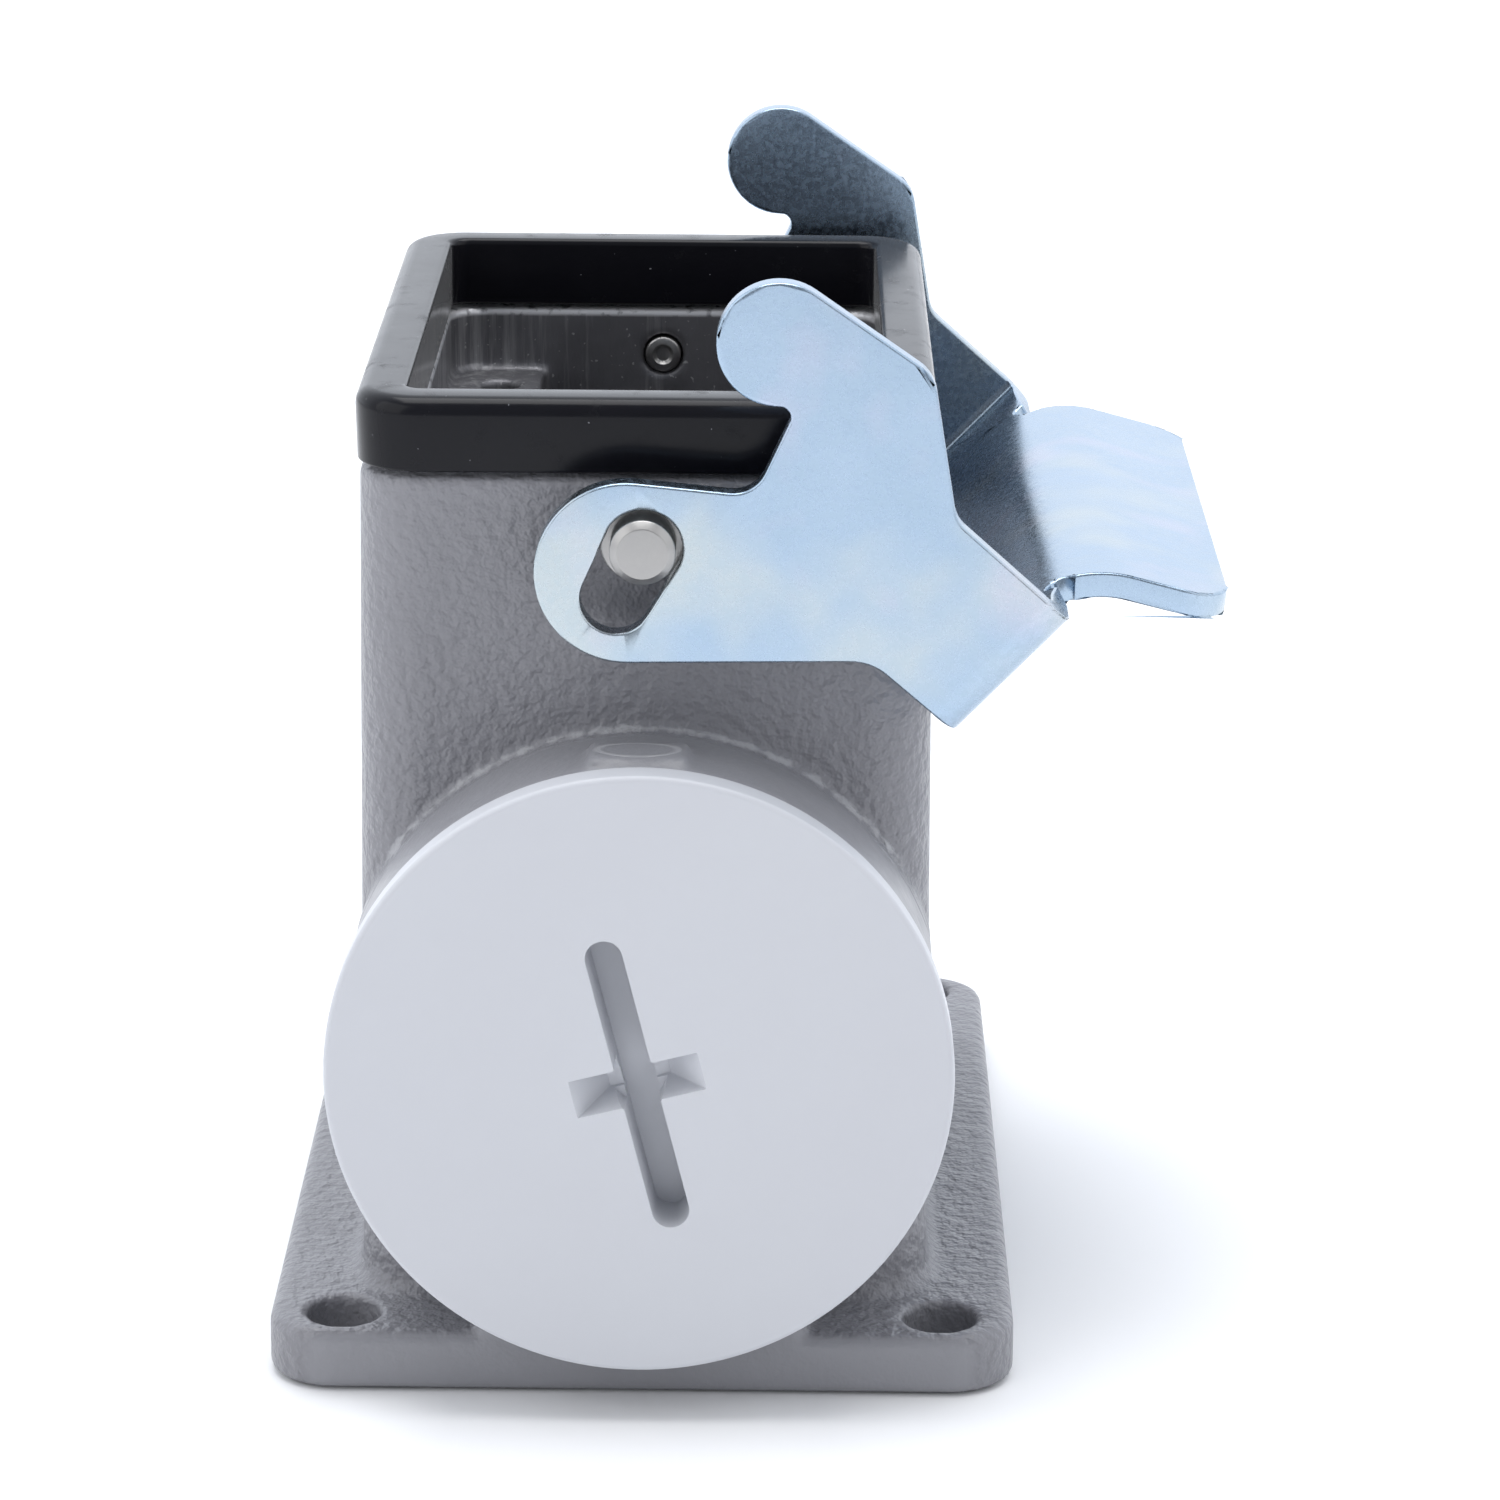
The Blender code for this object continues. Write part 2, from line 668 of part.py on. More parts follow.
def blanking_plug(material):
    edge = 0.4 * MM
    profile = [
        (0, PLUG_HEAD),
        (PLUG_RADIUS - edge, PLUG_HEAD),
        (PLUG_RADIUS, PLUG_HEAD - edge),
        (PLUG_RADIUS, 0),
        (0, 0),
    ]
    plug = turned("blanking_plug", profile, material)
    plug.location = (0, PLUG_BACK_Y, ENTRY_HEIGHT)
    plug.rotation_euler = (math.pi / 2, 0, 0)
    boolean(plug, "UNION", plug_thread())
    boolean(plug, "DIFFERENCE", plug_hollow())
    slots = plug_slot("long_slot", SLOT_WIDTH, SLOT_LENGTH, SLOT_WIDTH * 0.49)
    boolean(slots, "UNION", plug_slot("cross_slot", CROSS_SLOT_LENGTH, SLOT_WIDTH, 0))
    boolean(plug, "DIFFERENCE", slots)


def plug_seal_ring(material):
    inner, outer = RING_RADII
    profile = [(inner, RING_THICKNESS), (outer, RING_THICKNESS), (outer, 0), (inner, 0)]
    ring = turned("plug_seal_ring", profile, material)
    ring.location = (0, BOSS_FACE_Y - FIT, ENTRY_HEIGHT)
    ring.rotation_euler = (math.pi / 2, 0, 0)


# Assembly ----------------------------------------------------------------------------------
clear_scene()
PARTS = new_collection("connector_base_housing")
CUTTERS = new_collection("cutters")

coated_grey = new_material("coated_grey", (0.24, 0.245, 0.27), 0.45, 0.0)
black_seal = new_material("black_seal", (0.012, 0.012, 0.014), 0.3, 0.0)
zinc_steel = new_material("zinc_steel", (0.62, 0.7, 0.76), 0.28, 1.0)
stainless_steel = new_material("stainless_steel", (0.55, 0.54, 0.53), 0.3, 1.0)
grey_plastic = new_material("grey_plastic", (0.6, 0.62, 0.65), 0.4, 0.0)
dark_rubber = new_material("dark_rubber", (0.03, 0.03, 0.03), 0.6, 0.0)

housing(coated_grey)
seal_frame(black_seal)
pivot_pin("front_pivot_pin", -1, stainless_steel)
pivot_pin("rear_pivot_pin", 1, stainless_steel)
locking_lever(zinc_steel)
blanking_plug(grey_plastic)
plug_seal_ring(dark_rubber)
bpy.context.view_layer.update()
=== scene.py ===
"""Looks of the connector base housing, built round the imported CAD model.

Metres, +Z up, in the CAD's frame: the mouth opens to +Z, the cable entry faces -Y and the
lever's tab points to +X. Every piece is built in place and rides on its CAD body.
"""

import math

import bmesh
import bpy
from mathutils import Matrix, Vector


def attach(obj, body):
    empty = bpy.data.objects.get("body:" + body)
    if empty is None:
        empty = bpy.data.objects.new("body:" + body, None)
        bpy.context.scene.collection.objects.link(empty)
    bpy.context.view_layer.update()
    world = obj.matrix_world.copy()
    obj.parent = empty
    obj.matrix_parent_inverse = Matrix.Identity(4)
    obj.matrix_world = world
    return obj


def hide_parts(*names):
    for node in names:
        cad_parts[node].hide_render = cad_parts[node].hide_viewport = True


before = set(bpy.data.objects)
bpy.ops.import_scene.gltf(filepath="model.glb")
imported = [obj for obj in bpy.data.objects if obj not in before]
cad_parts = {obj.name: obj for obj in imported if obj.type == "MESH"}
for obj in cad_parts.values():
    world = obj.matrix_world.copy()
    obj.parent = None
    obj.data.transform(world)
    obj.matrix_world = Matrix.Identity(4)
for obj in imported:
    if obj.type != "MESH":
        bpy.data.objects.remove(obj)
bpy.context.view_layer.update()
SCENE = bpy.context.scene
MM = 0.001

# Sizes repeated from the CAD script ----------------------------------------------------------
SEAL_HALF = Vector((21.5, 31.2)) * MM
SEAL_BASE = 68.9 * MM
TOTAL_HEIGHT = 74.5 * MM
SHOULDER = 68.6 * MM
BODY_HALF = Vector((21.2, 31.0)) * MM
BODY_CORNER = 5.0 * MM
CAVITY_HALF = Vector((17.7, 27.5)) * MM
FLANGE_HALF = Vector((28.15, 40.8)) * MM
FLANGE_TOP = 4.6 * MM
FLANGE_SHIFT = Vector((0, 1.7)) * MM
FLANGE_CORNER = 5.0 * MM
ENTRY_HEIGHT = 27.0 * MM
BOSS_RADIUS = 22.5 * MM
BOSS_FACE_Y = -40.6 * MM
PLUG_BACK_Y = -41.8 * MM
PLUG_RADIUS = 23.0 * MM
PLUG_HEAD = 2.6 * MM
THREAD_RADIUS = 20.0 * MM
THREAD_PITCH = 1.5 * MM
THREAD_DEPTH = 0.92 * MM
THREAD_LENGTH = 10.0 * MM
PIVOT_HEIGHT = 64.75 * MM
LUG_CENTRE = (14.1 * MM, 23.0 * MM)
SCREW_CENTRE = (13.5 * MM, 22.0 * MM)
FIXING_CENTRE = (22.5 * MM, 36.5 * MM)
BADGE_CENTRE = (-0.25 * MM, -37.45 * MM)
BADGE_TOP = 49.95 * MM
CORNERS = [(x, y) for x in (-1, 1) for y in (-1, 1)]

# DRAFT is what the casting's foot gains in half width, for the looks alone.
DRAFT = 0.5 * MM
SLOT_TILT = math.radians(14.2)
SLOT_CENTRE = Vector((-0.1 * MM, PLUG_BACK_Y - PLUG_HEAD, ENTRY_HEIGHT - 0.5 * MM))
# ENTRY_AXIS turns the height of a revolved profile towards the front, at the entry's centre.
ENTRY_AXIS = Matrix.Translation((0, 0, ENTRY_HEIGHT)) @ Matrix.Rotation(math.pi / 2, 4, "X")


# Mesh helpers --------------------------------------------------------------------------------
def shade(mesh, angle):
    """Smooth shading, with the edges sharper than an angle in degrees left sharp."""
    mesh.shade_smooth()
    mesh.set_sharp_from_angle(angle=math.radians(angle))


def new_object(name, work, smooth_angle=30):
    """An object of the scene from a bmesh, with outward normals and sharp edges marked."""
    bmesh.ops.recalc_face_normals(work, faces=work.faces)
    mesh = bpy.data.meshes.new(name)
    work.to_mesh(mesh)
    work.free()
    shade(mesh, smooth_angle)
    obj = bpy.data.objects.new(name, mesh)
    SCENE.collection.objects.link(obj)
    return obj


def apply_modifiers(obj, smooth_angle=30):
    """Bakes an object's modifiers into its mesh."""
    graph = bpy.context.evaluated_depsgraph_get()
    old = obj.data
    mesh = bpy.data.meshes.new_from_object(obj.evaluated_get(graph), depsgraph=graph)
    obj.modifiers.clear()
    obj.data = mesh
    mesh.name = obj.name
    bpy.data.meshes.remove(old)
    shade(mesh, smooth_angle)
    return obj


def combine(obj, operation, *others):
    """Boolean with cutters or blocks, which are then removed."""
    for other in others:
        modifier = obj.modifiers.new(operation, "BOOLEAN")
        modifier.operation = operation
        modifier.object = other
        modifier.solver = "EXACT"
    apply_modifiers(obj)
    for other in others:
        bpy.data.objects.remove(other, do_unlink=True)
    return obj


def arc(centre, radius, start, end, steps):
    """Points along an arc in a plane, angles in degrees."""
    angles = (math.radians(start + (end - start) * i / steps) for i in range(steps + 1))
    return [Vector(centre) + radius * Vector((math.cos(a), math.sin(a))) for a in angles]


def fillet(before, corner, after, radius, steps=6):
    """Points that round the corner of a polyline."""
    back = (before - corner).normalized()
    ahead = (after - corner).normalized()
    half = back.angle(ahead) / 2
    centre = corner + (back + ahead).normalized() * radius / math.sin(half)
    reach = radius / math.tan(half)
    first = (corner + back * reach - centre).normalized()
    last = (corner + ahead * reach - centre).normalized()
    return [centre + first.slerp(last, i / steps) * radius for i in range(steps + 1)]


def soften(corners, closed=False, steps=6):
    """A polyline of (x, y, radius) in millimetres with each corner rounded by its radius."""
    points = [Vector(corner[:2]) * MM for corner in corners]
    made = []
    for i, (*_, radius) in enumerate(corners):
        at_end = not closed and i in (0, len(corners) - 1)
        if radius and not at_end:
            ahead = points[(i + 1) % len(points)]
            made += fillet(points[i - 1], points[i], ahead, radius * MM, steps)
        else:
            made.append(points[i])
    return made


def rounded_ring(half, corner, z, shift=(0, 0), steps=10):
    """A rounded rectangle as 3-D points."""
    points = []
    for quarter, (sx, sy) in enumerate(((1, 1), (-1, 1), (-1, -1), (1, -1))):
        centre = (sx * (half[0] - corner) + shift[0], sy * (half[1] - corner) + shift[1])
        turn = arc(centre, corner, 90 * quarter, 90 * quarter + 90, steps)
        points += [(point.x, point.y, z) for point in turn]
    return points


def add_loft(work, rings, closed=False):
    """Skins a row of equal rings, with caps unless the row closes on itself."""
    rows = [[work.verts.new(point) for point in ring] for ring in rings]
    pairs = list(zip(rows, rows[1:]))
    if closed:
        pairs.append((rows[-1], rows[0]))
    for low, high in pairs:
        for i in range(len(low)):
            j = (i + 1) % len(low)
            work.faces.new((low[i], low[j], high[j], high[i]))
    if not closed:
        work.faces.new(rows[0])
        work.faces.new(rows[-1])


def rounded_block(name, half, corner, profile, shift=(0, 0)):
    """A rounded rectangle lofted along (inset, height) pairs, its corners at least 0.2 mm."""
    work = bmesh.new()
    rings = []
    for inset, z in profile:
        size = (half[0] - inset, half[1] - inset)
        rings.append(rounded_ring(size, max(corner - inset, 0.2 * MM), z, shift))
    add_loft(work, rings)
    return new_object(name, work)


def rod(name, radius, start, end, sides=64):
    """A capped cylinder between two points."""
    start, end = Vector(start), Vector(end)
    turn = Vector((0, 0, 1)).rotation_difference(end - start).to_matrix().to_4x4()
    work = bmesh.new()
    bmesh.ops.create_cone(
        work,
        cap_ends=True,
        segments=sides,
        radius1=radius,
        radius2=radius,
        depth=(end - start).length,
        matrix=Matrix.Translation((start + end) / 2) @ turn,
    )
    return new_object(name, work)


def revolved(name, profile, place, sides=96, closed=False):
    """A solid of revolution from (radius, height) points, moved by a matrix."""
    work = bmesh.new()
    rings = []
    for radius, height in profile:
        count = 1 if radius < 0.001 * MM else sides  # one vertex for a point on the axis
        ring = []
        for i in range(count):
            angle = math.tau * i / sides
            spot = (radius * math.cos(angle), radius * math.sin(angle), height)
            ring.append(work.verts.new(place @ Vector(spot)))
        rings.append(ring)
    pairs = list(zip(rings, rings[1:]))
    if closed:
        pairs.append((rings[-1], rings[0]))
    for low, high in pairs:
        for i in range(sides):
            j = (i + 1) % sides
            corners = [low[i % len(low)], low[j % len(low)], high[j % len(high)], high[i % len(high)]]
            work.faces.new(list(dict.fromkeys(corners)))
    return new_object(name, work)


def bevel_edges(obj, width, angle, clamp=True):
    """Small bevels on the edges sharper than an angle in degrees, and even shading."""
    bevel = obj.modifiers.new("edges", "BEVEL")
    bevel.width = width
    bevel.segments = 2
    bevel.limit_method = "ANGLE"
    bevel.angle_limit = math.radians(angle)
    bevel.use_clamp_overlap = clamp
    apply_modifiers(obj, angle)
    weighted = obj.modifiers.new("even_light", "WEIGHTED_NORMAL")
    weighted.keep_sharp = True


def finish_piece(obj, node, body, slot, *materials):
    """Puts the materials on a piece that stands for a CAD node and rides on its body."""
    obj.data.materials.clear()
    for material in materials:
        obj.data.materials.append(material)
    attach(obj, body)
    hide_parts(node)


# Material helpers ----------------------------------------------------------------------------
class Surface:
    """A Principled material and shortcuts for its nodes, in the object's own coordinates."""

    def __init__(self, name, **inputs):
        self.material = bpy.data.materials.new(name)
        self.material.use_nodes = True
        self.tree = self.material.node_tree
        self.shader = self.tree.nodes["Principled BSDF"]
        for key, value in inputs.items():
            self.shader.inputs[key.replace("_", " ")].default_value = value
        self.place = self.tree.nodes.new("ShaderNodeTexCoord").outputs["Object"]

    def set(self, socket, output):
        """Links a node's output to one of the shader's sockets."""
        self.tree.links.new(output, self.shader.inputs[socket])

    def node(self, kind, inputs=(), **settings):
        """A new node, with its inputs linked to sockets or set to plain values."""
        made = self.tree.nodes.new(kind)
        for key, value in settings.items():
            setattr(made, key, value)
        for key, value in dict(inputs).items():
            if isinstance(value, bpy.types.NodeSocket):
                self.tree.links.new(value, made.inputs[key])
            else:
                made.inputs[key].default_value = value
        return made

    def stretched(self, scale):
        """The coordinates scaled along each axis: a small scale draws a pattern out."""
        inputs = {"Vector": self.place, "Scale": scale}
        return self.node("ShaderNodeMapping", inputs).outputs["Vector"]

    def noise(self, size_mm, detail=2.0, roughness=0.5, vector=None):
        """Noise whose features are about size_mm across."""
        inputs = {
            "Vector": vector or self.place,
            "Scale": 1000.0 / size_mm,
            "Detail": detail,
            "Roughness": roughness,
        }
        return self.node("ShaderNodeTexNoise", inputs).outputs["Fac"]

    def ranged(self, value, low, high, to_low=0.0, to_high=1.0, smooth=False):
        """A value moved from the range low..high to to_low..to_high, and held inside it."""
        inputs = {
            "Value": value,
            "From Min": low,
            "From Max": high,
            "To Min": to_low,
            "To Max": to_high,
        }
        kind = "SMOOTHSTEP" if smooth else "LINEAR"
        made = self.node("ShaderNodeMapRange", inputs, interpolation_type=kind)
        return made.outputs["Result"]

    def math(self, operation, first, second=0.0):
        """A sum, product or other operation on one or two values."""
        made = self.node("ShaderNodeMath", {0: first, 1: second}, operation=operation)
        return made.outputs[0]

    def blend(self, factor, first, second):
        """A colour between two others."""
        made = self.node("ShaderNodeMix", data_type="RGBA")
        for key, value in (("Factor", factor), ("A", first), ("B", second)):
            # The Mix node holds one socket of each type under the same name.
            kind = "VALUE" if key == "Factor" else "RGBA"
            socket = next(s for s in made.inputs if s.name == key and s.type == kind)
            if isinstance(value, bpy.types.NodeSocket):
                self.tree.links.new(value, socket)
            else:
                socket.default_value = value
        return next(s for s in made.outputs if s.type == "RGBA")

    def bump(self, height, distance_mm, normal=None):
        """A normal bent by a height from 0 to 1 that stands for distance_mm."""
        inputs = {"Height": height, "Distance": distance_mm * MM}
        if normal:
            inputs["Normal"] = normal
        return self.node("ShaderNodeBump", inputs).outputs["Normal"]

    def axis(self, name):
        """One coordinate: X across, Y along the entry, Z up."""
        return self.node("ShaderNodeSeparateXYZ", {"Vector": self.place}).outputs[name]


def coated_grey():
    """Textured powder coat: fine orange peel, calmer on the entry boss, its pedestal and the
    flange's front, with a lighter line where the boss meets the wall, partly a rough paint edge
    and partly a painted highlight on the small fillet there, and a lighter line round its badge."""
    coat = Surface("coated_grey_looks", IOR=1.5)
    across, depth, height = (coat.axis(name) for name in "XYZ")
    wall = -BODY_HALF.y
    flange_front = FLANGE_SHIFT.y - FLANGE_HALF.y

    # 1 on the boss, the pedestal and the flange's front face, 0 elsewhere
    calm = coat.ranged(depth, wall - 1.6 * MM, wall - 1.0 * MM, 1.0, 0.0)
    above = coat.ranged(height, FLANGE_TOP + 0.2 * MM, FLANGE_TOP + 1.0 * MM)
    calm = coat.math("MULTIPLY", calm, above)
    front = coat.ranged(depth, flange_front + 0.2 * MM, flange_front + 0.6 * MM, 1.0, 0.0)
    calm = coat.math("MAXIMUM", calm, front)

    # A thin, uneven lighter line where the boss leaves the wall: partly a rough paint edge, partly a
    # painted highlight on the small fillet there
    upward = coat.math("SUBTRACT", height, ENTRY_HEIGHT)
    squares = coat.math("MULTIPLY", across, across)
    squares = coat.math("ADD", squares, coat.math("MULTIPLY", upward, upward))
    radius = coat.math("SQRT", squares)
    off_line = coat.math("ABSOLUTE", coat.math("SUBTRACT", radius, BOSS_RADIUS + 0.25 * MM))
    wobble = coat.ranged(coat.noise(1.2, 3.0), 0.3, 0.7, -0.2 * MM, 0.2 * MM)
    line = coat.ranged(coat.math("ADD", off_line, wobble), 0.0, 0.2 * MM, 1.0, 0.0)
    outside = coat.ranged(depth, wall - 0.9 * MM, wall - 0.6 * MM)
    line = coat.math("MULTIPLY", line, outside)
    inside = coat.ranged(depth, wall + 0.4 * MM, wall + 0.7 * MM, 1.0, 0.0)
    line = coat.math("MULTIPLY", line, inside)

    # The oval border of the badge on top of the boss, where the sum of the squares is near 0.8
    oval = 0.0
    for place, centre, half in zip((across, depth), BADGE_CENTRE, (3.3 * MM, 1.8 * MM)):
        part = coat.math("DIVIDE", coat.math("SUBTRACT", place, centre), half)
        oval = coat.math("ADD", coat.math("MULTIPLY", part, part), oval)
    off_border = coat.math("ABSOLUTE", coat.math("SUBTRACT", oval, 0.8))
    border = coat.ranged(off_border, 0.1, 0.24, 1.0, 0.0)
    on_top = coat.ranged(height, BADGE_TOP - 0.35 * MM, BADGE_TOP - 0.25 * MM)
    marks = coat.math("MAXIMUM", line, coat.math("MULTIPLY", border, on_top))

    paint = coat.blend(coat.noise(9.0), (0.213, 0.212, 0.23, 1), (0.243, 0.242, 0.262, 1))
    paint = coat.blend(calm, paint, (0.255, 0.255, 0.275, 1))
    # The lighter lines: at the boss partly a rough paint edge and partly a painted highlight on its
    # small fillet; on the badge, its border
    coat.set("Base Color", coat.blend(marks, paint, (0.35, 0.35, 0.37, 1)))
    coat.set("Roughness", coat.ranged(coat.noise(2.5), 0.3, 0.7, 0.3, 0.4))
    depth_of_peel = coat.ranged(calm, 0.0, 1.0, 1.0, 0.2)
    normal = coat.bump(coat.math("MULTIPLY", coat.noise(0.85), depth_of_peel), 0.36)
    normal = coat.bump(marks, 0.08, normal)
    coat.set("Normal", coat.bump(coat.noise(0.3, 1.0), 0.02, normal))
    return coat.material


def bare_casting():
    """The uncoated inside: dark metal with the marks of the die running up its walls, drawn
    stronger near the corner on the left as painted light, and a painted highlight: a bright broken
    line along its upper edge."""
    bare = Surface("bare_casting_looks", Metallic=0.55, IOR=1.5)
    streaks = bare.noise(1.0, 4.0, 0.65, bare.stretched((1, 1, 0.06)))
    # Painted light: the die marks are drawn stronger near the left corner, where the light falls on
    # the wall, and weaker away from it
    painted_corner_light = bare.ranged(bare.axis("X"), -16.0 * MM, -10.0 * MM, 1.1, 0.88)
    streaks = bare.math("MULTIPLY", streaks, painted_corner_light)
    clouds = bare.noise(5.0, 3.0)
    metal = bare.blend(clouds, (0.12, 0.12, 0.132, 1), (0.21, 0.208, 0.222, 1))
    metal = bare.blend(bare.ranged(streaks, 0.5, 0.75), metal, (0.38, 0.378, 0.39, 1))
    specks = bare.ranged(bare.noise(0.45, 1.0), 0.7, 0.74)
    metal = bare.blend(specks, metal, (0.4, 0.4, 0.41, 1))
    # Painted highlight: a bright broken line just under the shoulder, where the cavity's upper edge
    # catches the light
    highlight_breaks = bare.ranged(bare.noise(1.1, 3.0), 0.34, 0.46)
    rim = bare.ranged(bare.axis("Z"), SHOULDER - 0.7 * MM, SHOULDER - 0.45 * MM)
    rim = bare.math("MULTIPLY", rim, highlight_breaks)
    bare.set("Base Color", bare.blend(rim, metal, (0.62, 0.62, 0.64, 1)))
    bare.set("Roughness", bare.ranged(clouds, 0.3, 0.7, 0.3, 0.46))
    bare.set("Normal", bare.bump(streaks, 0.1))
    return bare.material


def black_seal():
    """Moulded black elastomer, satin, with scuffs and a few specks of dust."""
    seal = Surface("black_seal_looks", IOR=1.28, Sheen_Weight=0.14, Sheen_Roughness=0.3)
    dust = seal.ranged(seal.noise(0.42, 1.0), 0.775, 0.8)
    haze = seal.noise(6.0, 4.0, 0.6)
    base = seal.blend(haze, (0.004, 0.004, 0.006, 1), (0.008, 0.008, 0.011, 1))
    seal.set("Base Color", seal.blend(dust, base, (0.2, 0.2, 0.22, 1)))
    scuffs = seal.ranged(seal.noise(2.6, 5.0, 0.65), 0.56, 0.7)
    satin = seal.ranged(haze, 0.3, 0.7, 0.15, 0.22)
    seal.set("Roughness", seal.math("ADD", satin, seal.math("MULTIPLY", scuffs, 0.16)))
    seal.set("Normal", seal.bump(seal.noise(1.5), 0.004))
    return seal.material


def zinc_plate():
    """Blue-passivated zinc: pale blue with faint yellowish and pink clouds over fine spangle."""
    zinc = Surface("zinc_plate_looks", Metallic=1.0)
    blue = zinc.blend(zinc.noise(5.0, 3.0), (0.34, 0.445, 0.56, 1), (0.4, 0.5, 0.62, 1))
    yellow = zinc.ranged(zinc.noise(15.0, 3.0), 0.47, 0.68, 0.0, 0.75, smooth=True)
    wide_clouds = zinc.noise(8.0, vector=zinc.stretched((1, 1.3, 1)))
    pink = zinc.ranged(wide_clouds, 0.55, 0.72, 0.0, 0.45)
    tone = zinc.blend(yellow, blue, (0.52, 0.56, 0.55, 1))
    tone = zinc.blend(pink, tone, (0.53, 0.52, 0.63, 1))
    spangle = zinc.noise(0.55, 4.0, 0.65)
    spots = zinc.ranged(spangle, 0.4, 0.6, 0.75, 1.0)
    zinc.set("Base Color", zinc.blend(spots, (0.28, 0.36, 0.42, 1), tone))
    zinc.set("Roughness", zinc.ranged(spangle, 0.3, 0.7, 0.18, 0.34))
    normal = zinc.bump(spangle, 0.006)
    zinc.set("Normal", zinc.bump(zinc.noise(0.35, 1.0), 0.004, normal))
    return zinc.material


def stainless():
    """Turned stainless steel, slightly dull."""
    pin = Surface("stainless_looks", Metallic=1.0)
    clouds = pin.noise(1.6, 3.0)
    pin.set("Base Color", pin.blend(clouds, (0.32, 0.315, 0.31, 1), (0.44, 0.43, 0.42, 1)))
    pin.set("Roughness", pin.ranged(clouds, 0.3, 0.7, 0.28, 0.42))
    pin.set("Normal", pin.bump(pin.noise(0.25), 0.006))
    return pin.material


def grey_plastic():
    """Light grey moulded plastic, nearly even."""
    plug = Surface("grey_plastic_looks", IOR=1.48)
    clouds = plug.noise(14.0)
    plug.set("Base Color", plug.blend(clouds, (0.545, 0.552, 0.588, 1), (0.565, 0.578, 0.612, 1)))
    plug.set("Roughness", plug.ranged(plug.noise(1.5), 0.3, 0.7, 0.36, 0.44))
    plug.set("Normal", plug.bump(plug.noise(0.3), 0.004))
    return plug.material


def dark_rubber():
    """Matt black rubber."""
    ring = Surface("dark_rubber_looks")
    clouds = ring.noise(2.0, 3.0)
    ring.set("Base Color", ring.blend(clouds, (0.02, 0.02, 0.02, 1), (0.04, 0.04, 0.042, 1)))
    ring.set("Roughness", ring.ranged(clouds, 0.3, 0.7, 0.5, 0.7))
    ring.set("Normal", ring.bump(ring.noise(0.4), 0.01))
    return ring.material


# Thread --------------------------------------------------------------------------------------
def threaded_rod(name, crest, start_y, end_y):
    """A right-hand threaded rod along Y at the entry's axis. Its profile, as (part of a pitch,
    rise from the crest), is wound from 1.5 turns before PLUG_BACK_Y and trimmed to length."""
    sides = 72
    profile = [(0.0, -THREAD_DEPTH), (0.12, -THREAD_DEPTH), (0.44, 0.0), (0.68, 0.0)]
    rows = math.ceil((end_y - PLUG_BACK_Y) / THREAD_PITCH + 2) * len(profile)
    work = bmesh.new()
    columns = []
    for side in range(sides):
        angle = math.tau * side / sides
        column = []
        for row in range(rows + 1 + len(profile)):
            place, rise = profile[row % len(profile)]
            along = (row // len(profile) + place + side / sides - 1.5) * THREAD_PITCH
            radius = crest + rise
            spot = (
                radius * math.sin(angle),
                PLUG_BACK_Y + along,
                ENTRY_HEIGHT + radius * math.cos(angle),
            )
            column.append(work.verts.new(spot))
        columns.append(column)
    for side in range(sides):
        here = columns[side]
        # The next column starts one pitch further on when the helix closes a full turn.
        there = columns[0][len(profile) :] if side == sides - 1 else columns[side + 1]
        for row in range(rows):
            work.faces.new((here[row], here[row + 1], there[row + 1], there[row]))
    for column in columns[1:]:
        for vert in column[rows + 1 :]:
            work.verts.remove(vert)
    for end in (0, rows):
        rim = [column[end] for column in columns]
        rim += reversed(columns[0][end + 1 : end + len(profile) + 1])
        middle = work.verts.new((0, sum(v.co.y for v in rim) / len(rim), ENTRY_HEIGHT))
        for first, second in zip(rim, rim[1:] + rim[:1]):
            work.faces.new((first, second, middle))
    thread = new_object(name, work)
    half = (end_y - start_y) / 2
    box = rounded_block(
        name + "_trim",
        (30 * MM, half),
        0,
        [(0, -10 * MM), (0, 60 * MM)],
        (0, (start_y + end_y) / 2),
    )
    return combine(thread, "INTERSECT", box)


# Housing -------------------------------------------------------------------------------------
def flange_block():
    """The mounting flange with a rounded upper edge; the other blocks are united with it."""
    edge = 0.9 * MM
    profile = [(0.4 * MM, 0), (0, 0.4 * MM)]
    for point in arc((0, 0), edge, 0, 90, 5):
        profile.append((edge - point.x, FLANGE_TOP - edge + point.y))
    return rounded_block("housing_body_looks", FLANGE_HALF, FLANGE_CORNER, profile, FLANGE_SHIFT)


def wall_block():
    """The body, from inside the flange up to its shoulder, with a fillet at its foot."""
    foot = 1.4 * MM
    profile = [(-DRAFT - foot, 2.0 * MM)]
    for point in arc((0, 0), foot, 0, 90, 6):
        profile.append((-DRAFT - foot + point.y, FLANGE_TOP + foot - point.x))
    profile += [(-0.15 * MM, 50.0 * MM), (0, SHOULDER - 0.4 * MM), (0.4 * MM, SHOULDER)]
    return rounded_block("walls", BODY_HALF, BODY_CORNER, profile)


def boss_block():
    """The round boss of the entry, cut flush with the drafted sides of the body."""
    face, radius = -BOSS_FACE_Y / MM, BOSS_RADIUS / MM
    profile = soften([(0, face, 0), (radius, face, 0.7), (radius, 29.0, 0), (0, 29.0, 0)])
    boss = revolved("boss", profile, ENTRY_AXIS)
    sides = [(-DRAFT, 0), (-0.1 * MM, 50 * MM), (0, 60 * MM)]
    trim = rounded_block("boss_trim", (BODY_HALF.x, 45 * MM), 0, sides)
    return combine(boss, "INTERSECT", trim)


